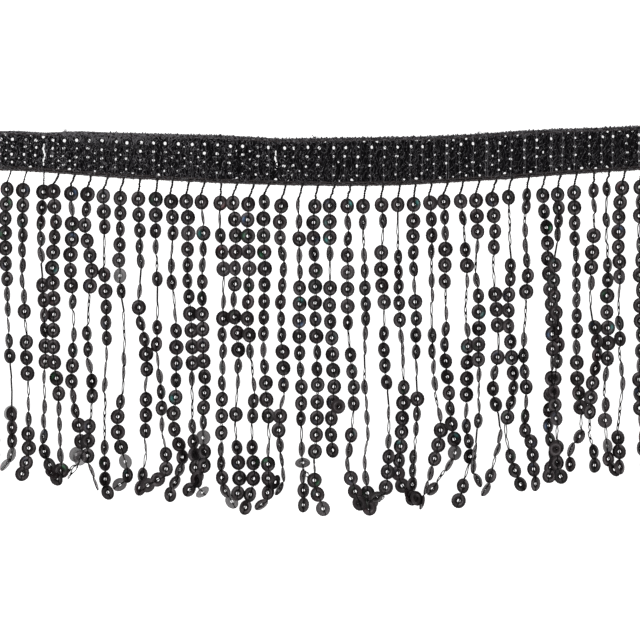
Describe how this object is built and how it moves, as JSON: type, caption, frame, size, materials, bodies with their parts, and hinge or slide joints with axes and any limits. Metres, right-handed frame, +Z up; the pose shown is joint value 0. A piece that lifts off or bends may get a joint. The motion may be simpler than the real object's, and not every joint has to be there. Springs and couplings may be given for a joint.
{
  "type": "sequin fringe trim",
  "caption": "Cut length of trim lying flat: a dark knitted band with sequins worked in, and strings of black ring sequins hanging from its lower edge.",
  "frame": {"origin": "middle of the trim's outline seen from above, on the surface it lies on", "axes": "+X along the band, +Y from the string tips to the band, +Z up from the surface to the trim's face"},
  "size_m": [0.2892, 0.162, 0.003],
  "materials": {
    "knitted_band": "matte fuzzy yarn with small glossy sequins knitted in",
    "sequin_strings": "gloss black ring sequins on twisted thread, a few with a green, blue or red sheen"
  },
  "bodies": {
    "root": {"header": "knitted_band", "fringe": "sequin_strings"}
  },
  "joints": []
}
